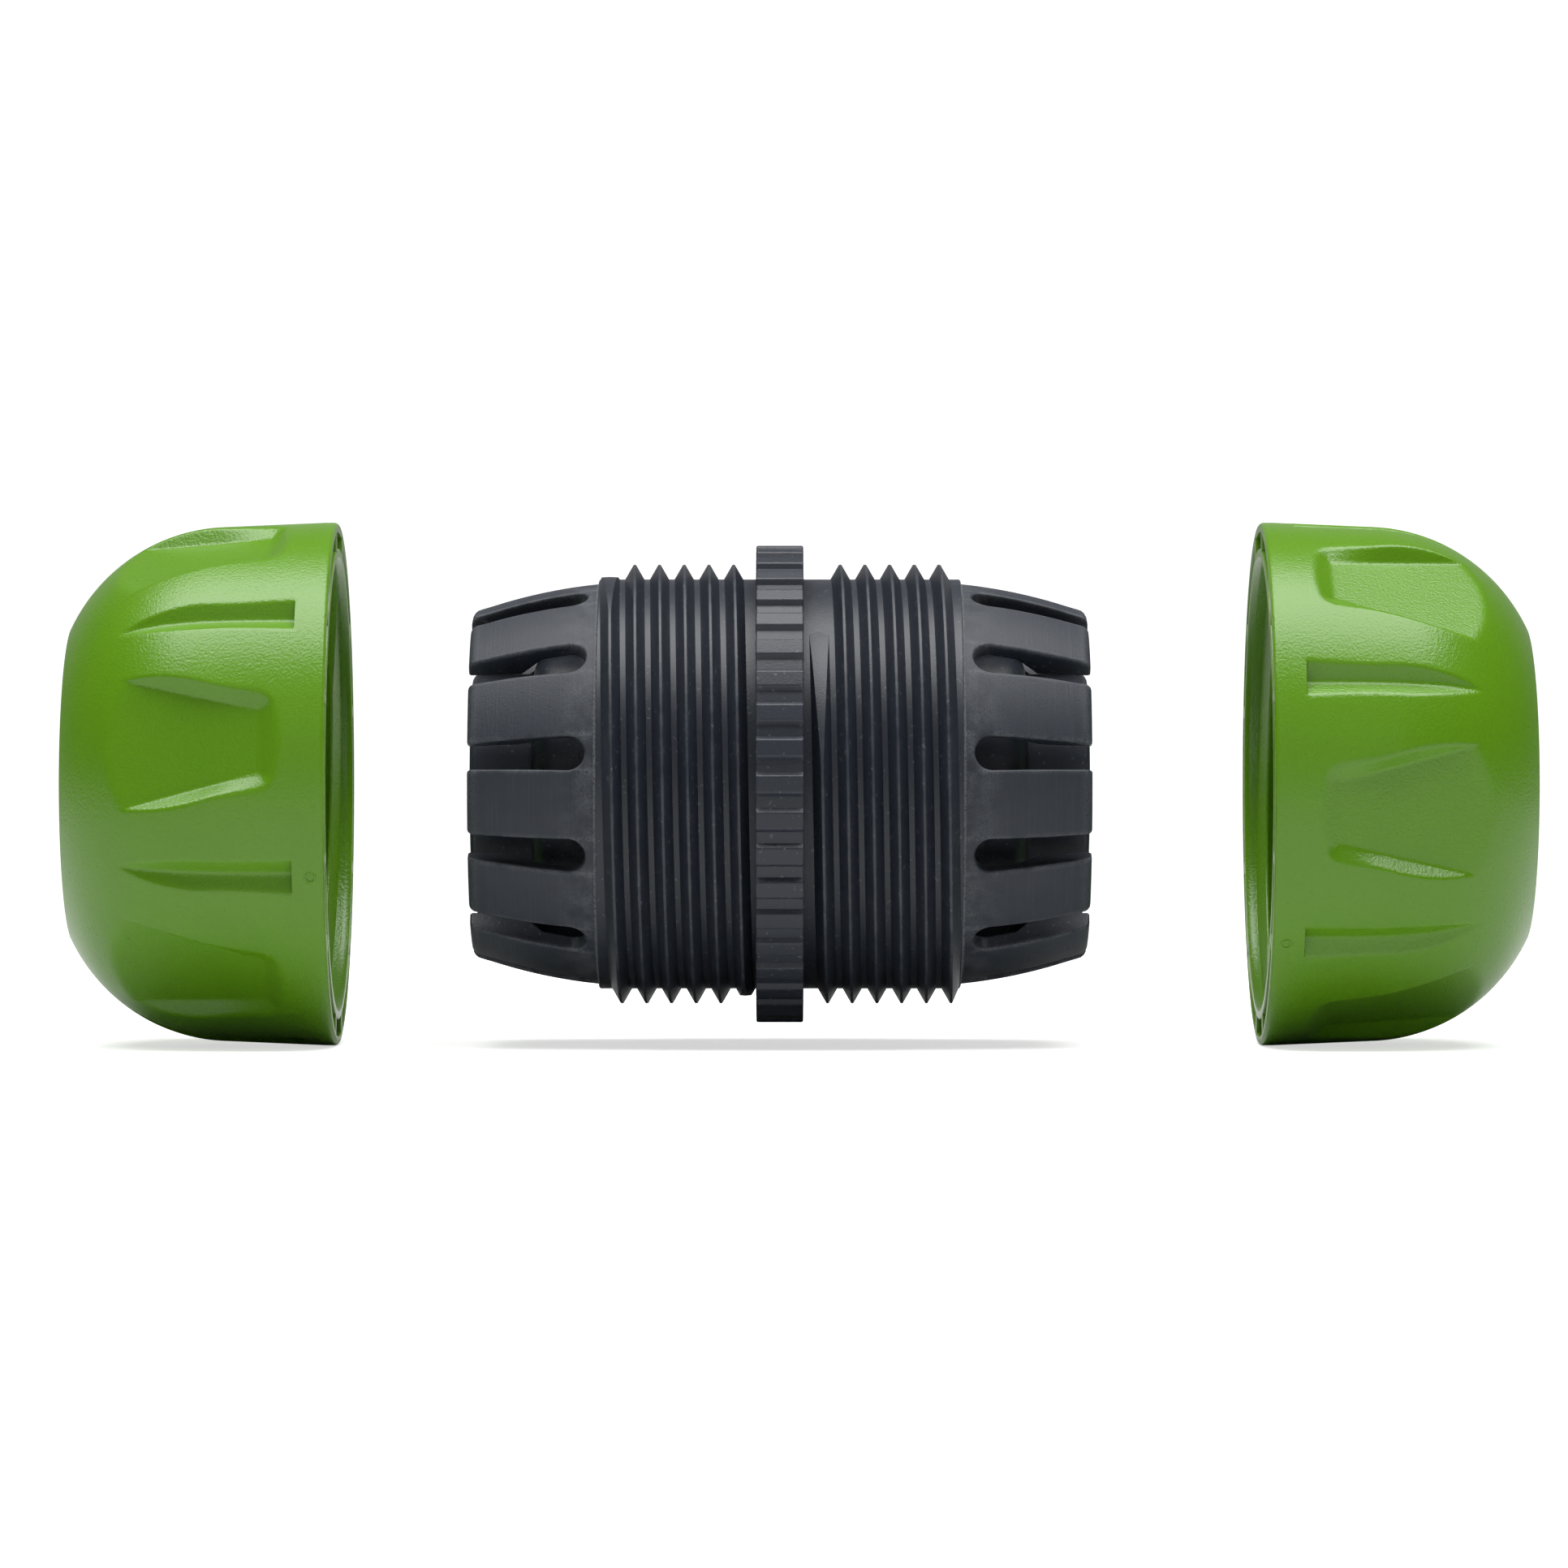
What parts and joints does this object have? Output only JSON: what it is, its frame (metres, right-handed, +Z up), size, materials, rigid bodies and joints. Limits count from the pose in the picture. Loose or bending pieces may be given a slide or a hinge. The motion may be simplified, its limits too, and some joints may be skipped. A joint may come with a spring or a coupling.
{
  "type": "hose mender",
  "caption": "Straight hose mender: threaded coupling body with hose tails, clamping fingers and a knurled flange, and the grip nuts that close the fingers on the hose.",
  "frame": {"origin": "on the floor under the middle of the row's length, below the common axis of the three pieces", "axes": "+X along the common axis from the left nut to the right nut, +Z up, -Y towards the viewer of the picture"},
  "size_m": [0.1174, 0.0424, 0.0423],
  "materials": {
    "body_plastic": "satin moulded dark slate grey, scuffed",
    "nut_plastic": "fine-grained satin green"
  },
  "bodies": {
    "body": {"coupling_body": "body_plastic"},
    "left_cap": {"left_nut": "nut_plastic"},
    "right_cap": {"right_nut": "nut_plastic"}
  },
  "joints": [
    {"name": "left_nut_on_and_off", "type": "slide", "parent": "body", "child": "left_cap", "axis": [1, 0, 0], "range_m": [0, 0.03015]},
    {"name": "right_nut_on_and_off", "type": "slide", "parent": "body", "child": "right_cap", "axis": [-1, 0, 0], "range_m": [0, 0.03325]}
  ]
}
